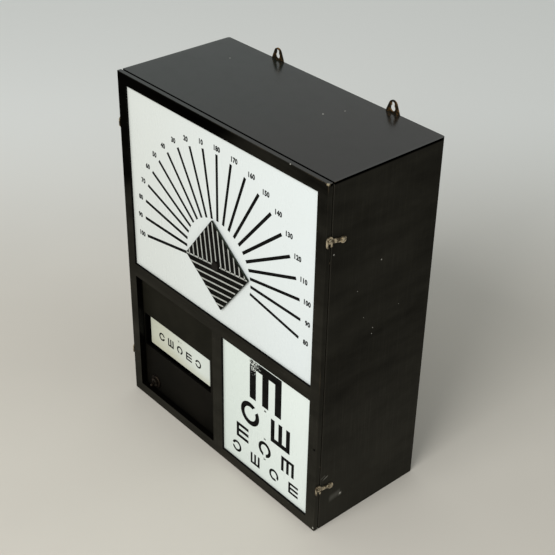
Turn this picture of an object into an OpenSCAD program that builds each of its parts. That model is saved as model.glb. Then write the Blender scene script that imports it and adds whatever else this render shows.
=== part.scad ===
// Eye test light box: a painted lamp cabinet whose lift-off front carries two opal panes.
// A square block figure turns on the upper pane, and a six-sided letter drum turns behind a slot.
// Millimetres, +Z up. The origin is the middle of the footprint on the floor, and the front faces -Y.

/* [Cabinet] */
// Overall width
cabinet_w = 555; // [530:1:600]
// Overall depth, front included
cabinet_d = 258; // [240:1:300]
// Overall height, without the hanger plates
cabinet_h = 715; // [690:1:760]
// Thickness of the top, bottom, side, shelf and divider boards
board_t = 12; // [10:0.5:14]
// Depth of the corner rabbets that seat the sides in the top and bottom
rabbet_d = 5; // [3:0.5:6]
// Depth of the grooves that hold the shelf and the divider
dado_d = 4; // [2:0.5:5]
// Rounding of the two upright back corners
corner_r = 5; // [3:0.5:7]
// Thickness of the back panel
back_t = 6; // [4:0.5:8]
// Width of the rebate that the back panel sits in
back_rebate = 4; // [3:0.5:5]
// How far the back panel lies inside the back edges
back_inset = 4; // [3:0.5:8]
// Seam between the lift-off front and the cabinet
front_gap = 1.8; // [0.8:0.1:2]
// Diameter of the vent holes in the back panel
vent_d = 16; // [10:1:20]
// Number of vent holes in each row
vent_count = 5; // [3:1:7]
// Distance between vent holes
vent_pitch = 36; // [30:1:44]
// Distance of the vent rows from the boards
vent_edge = 40; // [30:1:50]

/* [Lift-off front] */
// Thickness of the front frame
front_t = 11; // [11:0.5:15]
// Clearance of the front above the floor
foot_gap = 1; // [0.5:0.1:2]
// Width of the two stiles
stile_w = 23; // [20:0.5:28]
// Height of the top rail
top_rail_h = 21.5; // [19:0.5:28]
// Height of the bottom rail
bottom_rail_h = 22; // [19:0.5:28]
// Height of the two lower openings
lower_open_h = 267; // [255:1:275]
// Height of the middle rail
mid_rail_h = 28; // [24:0.5:34]
// Width of the upright bar between the lower openings
mullion_w = 28; // [24:0.5:34]
// Thickness of the lip in front of the glass
lip_t = 4.3; // [3.5:0.1:5]
// Width of the glazing rebate
rebate_w = 6; // [5:0.5:7]
// Bevel along the outer edges of the front
front_bevel = 0.9; // [0.4:0.1:1.5]
// Width of the groove round the back edges of the front
groove_w = 2.2; // [1.5:0.1:2.4]
// Depth of the groove round the back edges of the front
groove_d = 2.2; // [1.5:0.1:2.4]
// Length of the frame tenons
tenon_l = 10; // [6:0.5:12]
// Thickness of the frame tenons
tenon_t = 4; // [3:0.5:5]
// Diameter of the dowels that locate the front
dowel_d = 6; // [5:0.5:7]
// How far the dowels reach into the front
dowel_reach = 8; // [5:0.5:9]
// Distance of the dowels from the hook pins, towards the middle
dowel_off = 45; // [20:1:60]

/* [Panes and block] */
// Thickness of the opal glass
glass_t = 3; // [2.5:0.1:4]
// Height of the fan's centre above the bottom of its opening
fan_rise = 119; // [112:1:132]
// Distance of the fan's centre to the right of the middle
fan_off = 2; // [-4:0.5:4]
// Side of the square block plate
block_side = 125; // [110:1:130]
// Thickness of the block plate
block_t = 3; // [2:0.1:4]
// Turn of the block at rest, counter-clockwise from the front
block_turn = 7.5; // [-45:0.5:45]
// Diameter of the block's spindle
spindle_d = 6; // [5:0.5:7]
// Diameter of the block's centre knob
knob_d = 19; // [16:0.5:24]
// Height of the block's centre knob
knob_h = 3.6; // [3:0.1:6]
// Thickness of the bush flange that spaces the block off the glass
bush_flange_t = 1.8; // [1:0.1:2.5]

/* [Mask and letter drum] */
// Thickness of the mask panel
mask_t = 4; // [3:0.5:5]
// How far the mask lies behind the cabinet's front edges
mask_inset = 2.2; // [1:0.1:4]
// Distance from the slot to the upright bar
slot_bar = 26; // [22:0.5:32]
// Height of the slot in the mask
slot_h = 78; // [74:1:84]
// Distance from the edge of the opening to the slot
slot_side = 0.5; // [0:0.5:4]
// Height of the slot above the bottom of the opening
slot_rise = 96; // [85:1:104]
// Number of faces of the drum
drum_sides = 6; // [6:1:8]
// Height of one drum face
drum_face = 65; // [58:0.5:66]
// Distance from each end of the slot to the drum
drum_side = 11; // [9:0.5:16]
// How far the front face of the drum lies behind the face of the mask
drum_set = 7; // [6:0.5:12]
// Thickness of the drum's faces
drum_face_t = 2.5; // [2:0.1:4]
// Thickness of the drum's end plates
drum_end_t = 6; // [4:0.5:8]
// Diameter of the hubs on the drum's end plates
hub_d = 30; // [26:1:36]
// Length of the hubs inside the drum
hub_l = 6; // [3:0.5:10]
// Diameter of the fixed tube that carries the drum at the lamp end
tube_d = 16; // [14:0.5:18]
// Bore of that tube
tube_bore = 9; // [8:0.5:11]
// Diameter of the stub that carries the drum at the other end
stub_d = 10; // [8:0.5:12]
// Thickness of the spacing washers at the ends of the drum
drum_washer_t = 3; // [2:0.5:4]
// Thickness of the two posts that hold the drum
post_t = 10; // [8:0.5:11]
// Width of the posts
post_w = 50; // [44:1:60]

/* [Switch] */
// Distance of the switch from the side edge of the opening
switch_in = 31; // [26:1:40]
// Height of the switch above the bottom of the opening
switch_up = 15.5; // [15:0.5:22]
// Diameter of the brass rose
rose_d = 29; // [24:0.5:30]
// Thickness of the brass rose
rose_t = 3; // [2:0.5:4]
// Diameter of the switch bush
switch_bush_d = 12; // [11:0.5:14]
// Diameter of the lever's ball
lever_ball_d = 7; // [6:0.5:7.5]
// Diameter of the cross pin that the lever tips on
lever_pin_d = 2; // [1.5:0.1:2.5]
// Length of the lever from the ball to its tip
lever_l = 13; // [11:0.5:15]
// Swing of the lever to each side
lever_swing = 17; // [12:1:18]

/* [Hooks and hanger plates] */
// Distance of the upper hook pins below the top
hook_down = 100; // [85:1:125]
// Height of the lower hook pins
hook_low = 101; // [85:1:115]
// Distance from the cabinet's front edge back to the hook pivot
pivot_back = 22.2; // [18:0.2:28]
// How far the pivot lies below the pin
pivot_drop = 7; // [4:0.5:9]
// Thickness of the hook plate
hook_t = 2.5; // [2:0.1:3]
// Diameter of the hook's pivot lobe
lobe_d = 12; // [11:0.5:15]
// Width of the hook's waist
waist_w = 7.5; // [6:0.5:9]
// Width of the hook's head
head_w = 12; // [11.5:0.5:15]
// How far the head's arch is raised above the pin
head_rise = 2; // [1:0.5:4]
// How far the head reaches below the pin
head_leg = 12; // [8:0.5:14]
// Diameter of the hook pins
pin_d = 5; // [4:0.5:5.5]
// Diameter of the pivot screws
screw_d = 4.5; // [4:0.5:5]
// Width of the hanger plates
eye_w = 32; // [30:0.5:36]
// How far the hanger plates rise above the top
eye_rise = 23; // [21.5:0.5:26]
// Thickness of the hanger plates
eye_t = 2.5; // [2:0.1:3]
// How far the hanger plates are let in below the back edge
eye_sink = 0.4; // [0.2:0.1:0.8]
// Radius of the wide end of the hanger hole
eye_hole_r = 5.7; // [5.4:0.1:6.2]
// Radius of the narrow end of the hanger hole
eye_neck_r = 3.8; // [3.4:0.1:4]
// Height of the bar below the hanger hole
eye_bar = 3; // [2:0.1:4]
// Rounding of the tip of the hanger plates
eye_tip_r = 9.5; // [8:0.1:11]
// Distance of the left hanger plate from the left side
eye_left = 144; // [125:0.5:165]
// Distance of the right hanger plate from the right side
eye_right = 117.5; // [100:0.5:150]

/* [Lamps and wiring] */
// Diameter of the lampholder base
holder_base_d = 62; // [54:1:70]
// Height of the lampholder base
holder_base_h = 14; // [10:0.5:18]
// Diameter of the lampholder barrel
holder_barrel_d = 33; // [30:0.5:36]
// Height of the lampholder barrel
holder_barrel_h = 32; // [28:1:40]
// Depth of the lampholder socket
socket_h = 22; // [18:1:26]
// Diameter of the bulb cap
bulb_cap_d = 22; // [20:0.5:24]
// Diameter of the large bulbs
bulb_d = 60; // [50:1:64]
// Length of the glass of the large bulbs
bulb_glass_l = 88; // [80:1:94]
// Diameter of the drum's small bulb
small_bulb_d = 28; // [24:1:34]
// Length of the glass of the small bulb
small_bulb_l = 54; // [48:1:60]
// Diameter of the flexible leads
lead_d = 6; // [5:0.5:7]
// Height of the cord bush above the floor
bush_h = 46; // [40:1:60]
// Distance of the cord bush from the inside of the right board
bush_in = 85.5; // [60:0.5:110]
// Distance of the terminal block from the back panel
terminal_back = 40; // [30:1:50]
// Distance of the terminal block from the divider
terminal_in = 28; // [20:1:36]
// Bore of the cord bush
cord_bore = 9; // [7:0.5:10]

/* [Fits] */
// Radial clearance of pieces that turn on a pin
running = 0.05; // [0.03:0.01:0.1]
// Radial clearance of fixed pins in their holes
seated = 0.02; // [0.01:0.01:0.05]
// Clearance of panels and glass in their seats
play = 0.4; // [0.2:0.1:0.8]
// End clearance of pieces that turn
end_play = 0.15; // [0.1:0.05:0.3]

/* [Hidden] */
$fn = 64;
eps = 0.01;

x_out = cabinet_w / 2;
x_in = x_out - board_t;
y_face = -cabinet_d / 2;
y_frame = y_face + front_t;
y_box = y_frame + front_gap;
y_back = cabinet_d / 2;
y_panel_out = y_back - back_inset;
y_panel = y_panel_out - back_t;
z_roof = cabinet_h - board_t;

x_open = x_out - stile_w;
z_low0 = foot_gap + bottom_rail_h;
z_low1 = z_low0 + lower_open_h;
z_up0 = z_low1 + mid_rail_h;
z_up1 = cabinet_h - top_rail_h;
y_glass = y_face + lip_t;
y_glass_back = y_glass + glass_t;
mullion_x = mullion_w / 2;
fan_centre_h = z_up0 + fan_rise;
hook_high = cabinet_h - hook_down;
dowel_heights = [hook_low + dowel_off, hook_high - dowel_off];
lamp_x = (mullion_x + x_open) / 2;
bush_x = x_in - bush_in;
eye_places = [eye_left - x_out, x_out - eye_right];
eye_back_y = y_back - eye_sink;
eye_foot = z_roof + back_rebate;
eye_hole_z = cabinet_h + eye_bar + eye_hole_r;
eye_neck_z = cabinet_h + eye_rise - 2.7 - eye_neck_r;

shelf_z = z_low1 + (mid_rail_h - board_t) / 2;
shelf_top = shelf_z + board_t;
divider_x = board_t / 2;

y_mask = y_box + mask_inset;
y_mask_back = y_mask + mask_t;
slot_x0 = slot_side - x_open;
slot_x1 = -mullion_x - slot_bar;
slot_z0 = z_low0 + slot_rise;
slot_z1 = slot_z0 + slot_h;

drum_apothem = drum_face / 2 / tan(180 / drum_sides);
drum_y = y_mask + drum_set + drum_apothem;
drum_z = (slot_z0 + slot_z1) / 2;
drum_x0 = slot_x0 + drum_side;
drum_x1 = slot_x1 - drum_side;
drum_len = drum_x1 - drum_x0;
post_x0 = drum_x0 - drum_washer_t - 2 * end_play;
post_x1 = drum_x1 + drum_washer_t + 2 * end_play;
post_top_r = post_w / 2;
tube_tail = 8;
tube_x0 = drum_x1 - drum_end_t - hub_l - 4;
small_holder_d = 26;
small_holder_h = 20;
small_socket_h = 14;
small_cap_d = 15;

switch_x = switch_in - x_open;
switch_z = z_low0 + switch_up;
switch_nut_d = 17;
switch_nut_h = 3;
switch_case = [22, 30, 20];
lever_y = y_mask - rose_t - switch_nut_h + lever_ball_d / 2;

bush_d = spindle_d + 4;
bush_flange_d = 17;
bush_nut_t = 2;
block_back_y = y_glass - bush_flange_t - end_play;
block_front_y = block_back_y - block_t;
bush_end_y = y_glass_back + bush_nut_t + 0.6;
block_nut_d = 12;
block_nut_t = 4;

pin_y = y_face + front_t / 2;
pin_head_d = 8;
pin_head_t = 2;
pin_hold = 9;
hook_off = 0.6;
pivot_y = y_box + pivot_back;
arm_u = pivot_y - pin_y;
notch_w = pin_d + 2 * 0.3;
screw_head_d = 9.5;
screw_head_h = 2.6;
screw_hold = 9;
washer_d = 10;

upper_lamp_z = (z_up0 + z_up1) / 2;
chart_lamp_z = (z_low0 + z_low1) / 2;
lead_r = lead_d / 2;
lead_off = lead_r + 0.2;
lead_hole_d = lead_d + 2;
block_size = [54, 28, 18];
terminal_x = divider_x + terminal_in;
terminal_y = y_panel - terminal_back - block_size[1];
switch_lead_y = terminal_y + block_size[1] * 0.72;
drum_lead_y = terminal_y + block_size[1] * 0.28;
cleat_w = 10;

wood_black = "#1f1d1a";
inner_white = "#e9e6dc";
opal = "#e3e9e4";
ivory = "#dedfcd";
brass = "#b0925a";
steel = "#9a9a98";
dark = "#26221f";

// Box between two corners
module span(a, b) {
    translate(a) cube(b - a);
}

// Round bar along X from x0 to x1
module bar_x(x0, x1, d) {
    translate([x0, 0, 0]) rotate([0, 90, 0]) cylinder(d = d, h = x1 - x0);
}

// Round bar along Y from y0 to y1
module bar_y(y0, y1, d) {
    translate([0, y1, 0]) rotate([90, 0, 0]) cylinder(d = d, h = y1 - y0);
}

// Plan of the cabinet behind its front, with rounded back corners
module cabinet_plan() {
    translate([-x_out, y_box]) square([cabinet_w, y_back - corner_r - y_box]);
    translate([corner_r - x_out, y_box]) square([cabinet_w - 2 * corner_r, y_back - y_box]);
    for (side = [-1, 1])
        translate([side * (x_out - corner_r), y_back - corner_r]) circle(r = corner_r);
}

// Top or bottom board in its place at the floor, with the rabbets, the back rebate upwards
module end_board() {
    difference() {
        linear_extrude(board_t) cabinet_plan();
        for (side = [-1, 1])
            translate([side * (x_out + x_in) / 2, 0, board_t])
                cube([board_t, cabinet_d + 2, 2 * rabbet_d], center = true);
        span([-x_in - eps, y_panel, board_t - back_rebate], [x_in + eps, y_back + 1, board_t + 1]);
    }
}

module top_board() {
    color(wood_black) difference() {
        translate([0, 0, cabinet_h]) mirror([0, 0, 1]) end_board();
        for (x = eye_places)
            span([x - eye_w / 2 - seated, eye_back_y - eye_t - seated, z_roof - 1],
                 [x + eye_w / 2 + seated, y_back + 1, cabinet_h + 1]);
    }
}

module bottom_board() {
    color(wood_black) difference() {
        end_board();
        span([-divider_x, y_box - 1, board_t - dado_d], [divider_x, y_panel, board_t + 1]);
    }
}

// Left or right side, drawn on the right
module side_board() {
    seat = board_t - rabbet_d;
    difference() {
        intersection() {
            translate([0, 0, seat]) linear_extrude(cabinet_h - 2 * seat) cabinet_plan();
            span([x_in, y_box - 1, 0], [x_out + 1, y_back + 1, cabinet_h]);
        }
        span([x_in - 1, y_panel, 0], [x_in + back_rebate, y_back + 1, cabinet_h]);
        span([x_in - 1, y_box - 1, shelf_z], [x_in + dado_d, y_panel, shelf_top]);
        for (z = [hook_low, hook_high])
            translate([0, pivot_y, z - pivot_drop])
                bar_x(x_out - screw_hold - 0.3, x_out + 1, screw_d + 2 * seated);
        for (z = dowel_heights)
            translate([(x_in + x_out) / 2, 0, z])
                bar_y(y_box - 1, y_box + dowel_reach + 0.5, dowel_d + 2 * seated);
    }
}

module side_left() {
    color(wood_black) mirror([1, 0, 0]) side_board();
}

module side_right() {
    color(wood_black) side_board();
}

module back_panel() {
    x = x_in + back_rebate - play;
    z = board_t - back_rebate + play;
    color(wood_black) difference() {
        span([-x, y_panel, z], [x, y_panel_out, cabinet_h - z]);
        translate([bush_x, 0, bush_h]) bar_y(y_panel - 1, y_panel_out + 1, cord_bore + 5 + 2 * seated);
        for (row = [z_roof - vent_edge, shelf_top + vent_edge])
            for (k = [0 : vent_count - 1])
                translate([(k - (vent_count - 1) / 2) * vent_pitch, 0, row])
                    bar_y(y_panel - 1, y_panel_out + 1, vent_d);
    }
}

module shelf() {
    color(inner_white) difference() {
        span([-x_in - dado_d + eps, y_box, shelf_z], [x_in + dado_d - eps, y_panel, shelf_top]);
        span([-divider_x, y_box - 1, shelf_z - 1], [divider_x, y_panel + 1, shelf_z + dado_d]);
        translate([lamp_x, y_panel - lead_off, shelf_z - 1]) cylinder(d = lead_hole_d, h = board_t + 2);
    }
}

module divider() {
    color(inner_white) difference() {
        span([eps - divider_x, y_box, board_t - dado_d], [divider_x - eps, y_panel, shelf_z + dado_d - eps]);
        for (y = [switch_lead_y, drum_lead_y])
            translate([0, y, board_t + lead_off]) bar_x(-divider_x - 1, divider_x + 1, lead_hole_d);
    }
}

module mask_panel() {
    color(wood_black) difference() {
        span([play - x_in, y_mask, board_t + play], [-divider_x - play, y_mask_back, shelf_z - play]);
        span([slot_x0, y_mask - 1, slot_z0], [slot_x1, y_mask_back + 1, slot_z1]);
        translate([switch_x, 0, switch_z]) bar_y(y_mask - 1, y_mask_back + 1, switch_bush_d + 2 * seated);
    }
}

// Upright cleat that the mask is screwed to, from x0 to x1
module mask_cleat(x0, x1) {
    span([x0, y_mask_back, board_t], [x1, y_mask_back + cleat_w, shelf_z]);
}

module mask_cleats() {
    color(wood_black) {
        mask_cleat(-x_in, cleat_w - x_in);
        mask_cleat(-divider_x - cleat_w, eps - divider_x);
    }
}

// Post with a round head that stands on the bottom board from x0 to x1
module drum_post(x0, x1, bore_d) {
    color(wood_black) translate([x0, drum_y, 0]) rotate([90, 0, 90]) linear_extrude(x1 - x0) difference() {
        union() {
            translate([-post_w / 2, board_t]) square([post_w, drum_z - board_t]);
            translate([0, drum_z]) circle(r = post_top_r);
        }
        translate([0, drum_z]) circle(d = bore_d + 2 * seated);
    }
}

module drum_post_left() {
    drum_post(post_x0 - post_t, post_x0, stub_d);
}

module drum_post_right() {
    drum_post(post_x1, post_x1 + post_t, tube_d);
}

module drum_stub() {
    color(steel) translate([0, drum_y, drum_z]) bar_x(post_x0 - post_t, drum_x0 + drum_end_t + hub_l + 2, stub_d);
}

module drum_tube() {
    color(brass) translate([0, drum_y, drum_z]) difference() {
        bar_x(tube_x0, post_x1 + post_t + tube_tail, tube_d);
        bar_x(tube_x0 - 1, post_x1 + post_t + tube_tail + 1, tube_bore);
    }
}

// Spacing washer with its outer face at x0
module drum_washer(x0, bore_d) {
    translate([x0, 0, 0]) difference() {
        bar_x(0, drum_washer_t, hub_d);
        bar_x(-1, drum_washer_t + 1, bore_d + 2 * seated);
    }
}

module drum_washers() {
    color(brass) translate([0, drum_y, drum_z]) {
        drum_washer(post_x0 + end_play, stub_d);
        drum_washer(drum_x1 + end_play, tube_d);
    }
}

module drum_lampholder() {
    color(dark) translate([tube_x0, drum_y, drum_z]) rotate([0, -90, 0])
        holder(small_holder_d, 3, small_holder_d - 5, small_holder_h - 3, small_cap_d, small_socket_h);
}

module drum_bulb() {
    x = tube_x0 - small_holder_h + small_socket_h;
    color(opal) translate([x, drum_y, drum_z]) rotate([0, -90, 0])
        bulb(small_cap_d, small_socket_h, small_bulb_d, small_bulb_l);
}

// Hexagon of the drum in the plane across its axle, one flat towards the front
module drum_polygon(apothem) {
    rotate(180 / drum_sides) circle(r = apothem / cos(180 / drum_sides), $fn = drum_sides);
}

// End plate whose outer face is at x = 0, with a hub on its inner side, bored to run on its axle
module drum_end(bore_d) {
    difference() {
        union() {
            rotate([90, 0, 90]) linear_extrude(drum_end_t) drum_polygon(drum_apothem - drum_face_t - eps);
            bar_x(drum_end_t / 2, drum_end_t + hub_l, hub_d);
        }
        bar_x(-1, drum_end_t + hub_l + 1, bore_d + 2 * running);
    }
}

module drum_end_left() {
    color(wood_black) translate([drum_x0, drum_y, drum_z]) drum_end(stub_d);
}

module drum_end_right() {
    color(wood_black) translate([drum_x1, drum_y, drum_z]) mirror([1, 0, 0]) drum_end(tube_d);
}

module drum_faces() {
    lean = tan(180 / drum_sides);
    half = drum_face / 2 - eps;
    color(ivory) translate([drum_x0, drum_y, drum_z])
        for (k = [0 : drum_sides - 1])
            rotate([360 / drum_sides * k, 0, 0]) rotate([90, 0, 90]) linear_extrude(drum_len)
                polygon([
                    [-drum_apothem, -half], [-drum_apothem, half],
                    [drum_face_t - drum_apothem, half - drum_face_t * lean],
                    [drum_face_t - drum_apothem, drum_face_t * lean - half]
                ]);
}

// Lampholder that stands on z = 0: round base, barrel and socket
module holder(base_d, base_h, barrel_d, barrel_h, cap_d, depth) {
    edge = base_h / 3;
    top = base_h + barrel_h;
    rotate_extrude() difference() {
        union() {
            square([base_d / 2, base_h - edge]);
            square([base_d / 2 - edge, base_h]);
            translate([base_d / 2 - edge, base_h - edge]) circle(r = edge);
            square([barrel_d / 2, top]);
        }
        translate([-1, top - depth]) square([cap_d / 2 + 0.5 + 1, depth + 1]);
        translate([-base_d, -1]) square([base_d, top + 2]);
    }
}

// Lamp bulb whose cap starts at z = 0 and whose glass is a globe with a straight taper to the neck
module bulb(cap_d, cap_h, globe_d, glass_l) {
    globe_z = cap_h + glass_l - globe_d / 2;
    neck = [cap_d / 2 + 1, cap_h + 6];
    reach = norm([neck[0], neck[1] - globe_z]);
    turn = atan2(neck[1] - globe_z, neck[0]) + acos(globe_d / 2 / reach);
    meet = [globe_d / 2 * cos(turn), globe_z + globe_d / 2 * sin(turn)];
    rotate_extrude() intersection() {
        union() {
            translate([0, globe_z]) circle(d = globe_d);
            polygon([[0, cap_h], [neck[0], cap_h], neck, meet, [0, globe_z]]);
            square([cap_d / 2, cap_h + 1]);
        }
        square([globe_d, cap_h + glass_l + 1]);
    }
}

module lampholder(x, z) {
    color(dark) translate([x, y_panel, z]) rotate([90, 0, 0])
        holder(holder_base_d, holder_base_h, holder_barrel_d, holder_barrel_h, bulb_cap_d, socket_h);
}

module large_bulb(x, z) {
    color(opal) translate([x, y_panel - holder_base_h - holder_barrel_h + socket_h, z]) rotate([90, 0, 0])
        bulb(bulb_cap_d, socket_h, bulb_d, bulb_glass_l);
}

module lampholder_upper_left() {
    lampholder(-lamp_x, upper_lamp_z);
}

module lampholder_upper_right() {
    lampholder(lamp_x, upper_lamp_z);
}

module lampholder_chart() {
    lampholder(lamp_x, chart_lamp_z);
}

module bulb_upper_left() {
    large_bulb(-lamp_x, upper_lamp_z);
}

module bulb_upper_right() {
    large_bulb(lamp_x, upper_lamp_z);
}

module bulb_chart() {
    large_bulb(lamp_x, chart_lamp_z);
}

module terminal_block() {
    ways = 4;
    pitch = block_size[0] / ways;
    color(dark) translate([terminal_x, terminal_y, board_t]) difference() {
        cube(block_size);
        for (k = [0 : ways - 1])
            for (y = [0.27, 0.73])
                translate([(k + 0.5) * pitch, y * block_size[1], block_size[2] - 6]) cylinder(d = 6, h = 7);
        for (k = [1 : ways - 1])
            translate([k * pitch - 0.6, -1, block_size[2] - 3]) cube([1.2, block_size[1] + 2, 4]);
    }
}

// Flexible lead through a list of points, with a ball at each bend
module lead(points) {
    for (k = [0 : len(points) - 2]) {
        step = points[k + 1] - points[k];
        flat = norm([step[0], step[1]]);
        translate(points[k]) rotate([0, atan2(flat, step[2]), atan2(step[1], step[0])])
            cylinder(d = lead_d, h = norm(step));
    }
    for (k = [1 : 1 : len(points) - 2])
        translate(points[k]) sphere(d = lead_d + 0.1);
}

module lamp_leads() {
    y = y_panel - lead_off;
    z = board_t + block_size[2] / 2;
    base_r = holder_base_d / 2;
    color(dark) {
        lead([
            [terminal_x + block_size[0], terminal_y + block_size[1] / 2, z],
            [lamp_x, terminal_y + block_size[1] / 2, z], [lamp_x, y, z], [lamp_x, y, chart_lamp_z - base_r]
        ]);
        lead([[lamp_x, y, chart_lamp_z + base_r], [lamp_x, y, upper_lamp_z - base_r]]);
        lead([[lamp_x - base_r, y, upper_lamp_z], [base_r - lamp_x, y, upper_lamp_z]]);
    }
}

module switch_leads() {
    z = board_t + lead_off;
    turn_x = (post_x1 + post_t + tube_tail - divider_x) / 2;
    lead_y = y_mask_back + switch_case[1] / 2;
    color(dark) {
        lead([
            [terminal_x, switch_lead_y, z], [switch_x, switch_lead_y, z], [switch_x, lead_y, z],
            [switch_x, lead_y, switch_z - switch_case[2] / 2]
        ]);
        lead([
            [terminal_x, drum_lead_y, z], [turn_x, drum_lead_y, z], [turn_x, drum_y, z],
            [turn_x, drum_y, drum_z], [post_x1 + post_t + 1, drum_y, drum_z]
        ]);
    }
}

module cord_bush() {
    barrel_d = cord_bore + 5;
    color(dark) translate([bush_x, 0, bush_h]) difference() {
        union() {
            bar_y(y_panel - 3, y_panel_out + eps, barrel_d);
            bar_y(y_panel_out, y_panel_out + back_inset - 1, barrel_d + 8);
        }
        bar_y(y_panel - 4, y_back + 1, cord_bore);
    }
}

module switch_case() {
    color(dark) translate([switch_x, 0, switch_z]) difference() {
        union() {
            translate([-switch_case[0] / 2, y_mask_back, -switch_case[2] / 2]) cube(switch_case);
            bar_y(y_mask - rose_t - switch_nut_h, y_mask_back + 1, switch_bush_d);
        }
        bar_y(y_mask - rose_t - switch_nut_h - 1, lever_y + lever_ball_d, lever_ball_d + 2 * running);
        translate([0, lever_y, 0]) bar_x(-switch_bush_d, switch_bush_d, lever_pin_d + 2 * seated);
    }
}

module switch_pin() {
    reach = switch_bush_d / 2 - 0.4;
    color(steel) translate([switch_x, lever_y, switch_z]) bar_x(-reach, reach, lever_pin_d);
}

module switch_rose() {
    lip = rose_t / 2;
    color(brass) translate([switch_x, y_mask, switch_z]) rotate([90, 0, 0]) rotate_extrude() difference() {
        union() {
            square([rose_d / 2, rose_t - lip]);
            square([rose_d / 2 - lip, rose_t]);
            translate([rose_d / 2 - lip, rose_t - lip]) circle(r = lip);
        }
        translate([-rose_d, -1]) square([rose_d + switch_bush_d / 2 + seated, rose_t + 2]);
    }
}

module switch_nut() {
    y = y_mask - rose_t;
    color(brass) translate([switch_x, 0, switch_z]) difference() {
        bar_y(y - switch_nut_h, y, switch_nut_d);
        bar_y(y - switch_nut_h - 1, y + 1, switch_bush_d + 2 * seated);
    }
}

// Lever on its ball, turned down to its lower stop
module switch_lever() {
    neck_d = 3.6;
    tip_d = 6.4;
    color(brass) translate([switch_x, lever_y, switch_z]) rotate([90 + lever_swing, 0, 0]) difference() {
        union() {
            sphere(d = lever_ball_d);
            cylinder(d1 = neck_d, d2 = tip_d - 1, h = lever_l - tip_d / 2);
            translate([0, 0, lever_l - tip_d / 2]) sphere(d = tip_d);
        }
        bar_x(-lever_ball_d, lever_ball_d, lever_pin_d + 2 * running);
    }
}

// Hanger plate let into the back edge of the top, with a keyhole above it
module hanger_eye(x) {
    half = eye_w / 2;
    tip_z = cabinet_h + eye_rise - eye_tip_r;
    reach = norm([half, tip_z - cabinet_h]);
    touch = acos(eye_tip_r / reach) - atan2(tip_z - cabinet_h, half);
    tip_u = eye_tip_r * cos(touch);
    tip_v = tip_z + eye_tip_r * sin(touch);
    color(brass) translate([x, eye_back_y, 0]) rotate([90, 0, 0]) linear_extrude(eye_t) difference() {
        union() {
            polygon([
                [-half, eye_foot + 0.3], [half, eye_foot + 0.3], [half, cabinet_h],
                [tip_u, tip_v], [-tip_u, tip_v], [-half, cabinet_h]
            ]);
            translate([0, tip_z]) circle(r = eye_tip_r);
        }
        translate([0, eye_hole_z]) circle(r = eye_hole_r);
        translate([0, eye_neck_z]) circle(r = eye_neck_r);
        translate([-eye_neck_r, eye_hole_z]) square([2 * eye_neck_r, eye_neck_z - eye_hole_z]);
    }
}

module hanger_eye_left() {
    hanger_eye(eye_places[0]);
}

module hanger_eye_right() {
    hanger_eye(eye_places[1]);
}

module front_dowels() {
    color(ivory)
        for (side = [-1, 1])
            for (z = dowel_heights)
                translate([side * (x_in + x_out) / 2, 0, z])
                    bar_y(y_frame - dowel_reach, y_box + dowel_reach, dowel_d);
}

// Children once at each of the four hooks, drawn on the right and mirrored to the left
module at_hooks() {
    for (side = [0, 1])
        mirror([side, 0, 0])
            for (z = [hook_low, hook_high])
                translate([x_out, 0, z]) children();
}

module hook_screws() {
    color(brass) at_hooks() translate([0, pivot_y, -pivot_drop]) {
        bar_x(-screw_hold, hook_off + hook_t + end_play, screw_d);
        translate([hook_off + hook_t + end_play - eps, 0, 0]) rotate([0, 90, 0]) intersection() {
            cylinder(d = screw_head_d, h = screw_head_h);
            translate([0, 0, screw_head_h - screw_head_d]) sphere(r = screw_head_d);
        }
    }
}

module hook_washers() {
    color(brass) at_hooks() translate([0, pivot_y, -pivot_drop]) difference() {
        bar_x(0, hook_off - end_play, washer_d);
        bar_x(-1, hook_off + 1, screw_d + 2 * seated);
    }
}

module hook_pins() {
    color(brass) at_hooks() translate([0, pin_y, 0]) {
        bar_x(-pin_hold, hook_off + hook_t + 0.5 + eps, pin_d);
        translate([hook_off + hook_t + 0.5, 0, 0]) rotate([0, 90, 0]) intersection() {
            cylinder(d = pin_head_d, h = pin_head_t);
            translate([0, 0, pin_head_t - pin_head_d]) sphere(r = pin_head_d);
        }
    }
}

// Outline of a hook: pivot at the origin, the pin forward along +X, the notch curved round the pivot and open downwards
module hook_outline() {
    slope = atan2(pivot_drop, arm_u);
    reach = norm([arm_u, pivot_drop]);
    difference() {
        union() {
            circle(d = lobe_d);
            rotate(slope) translate([0, -waist_w / 2]) square([reach, waist_w]);
            translate([arm_u, pivot_drop]) {
                translate([0, head_rise]) circle(d = head_w);
                translate([-head_w / 2, -head_leg]) square([head_w, head_leg + head_rise]);
            }
        }
        circle(d = screw_d + 2 * running);
        translate([arm_u, pivot_drop]) circle(d = notch_w);
        intersection() {
            difference() {
                circle(r = reach + notch_w / 2);
                circle(r = reach - notch_w / 2);
            }
            rotate(slope) translate([0, -2 * reach]) square(2 * reach);
        }
        translate([arm_u + head_w / 2, pivot_drop - head_leg]) rotate(45)
            square(head_w / 5, center = true);
        translate([arm_u - head_w / 2, pivot_drop - head_leg]) rotate(45)
            square(head_w / 5, center = true);
    }
}

// Hook plate on the left side at a pin height
module hook_plate(z) {
    color(brass) translate([-x_out - hook_off, pivot_y, z - pivot_drop]) rotate([90, 0, -90])
        linear_extrude(hook_t) hook_outline();
}

module hook_upper_left() {
    hook_plate(hook_high);
}

module hook_lower_left() {
    hook_plate(hook_low);
}

module hook_upper_right() {
    mirror([1, 0, 0]) hook_plate(hook_high);
}

module hook_lower_right() {
    mirror([1, 0, 0]) hook_plate(hook_low);
}

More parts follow.
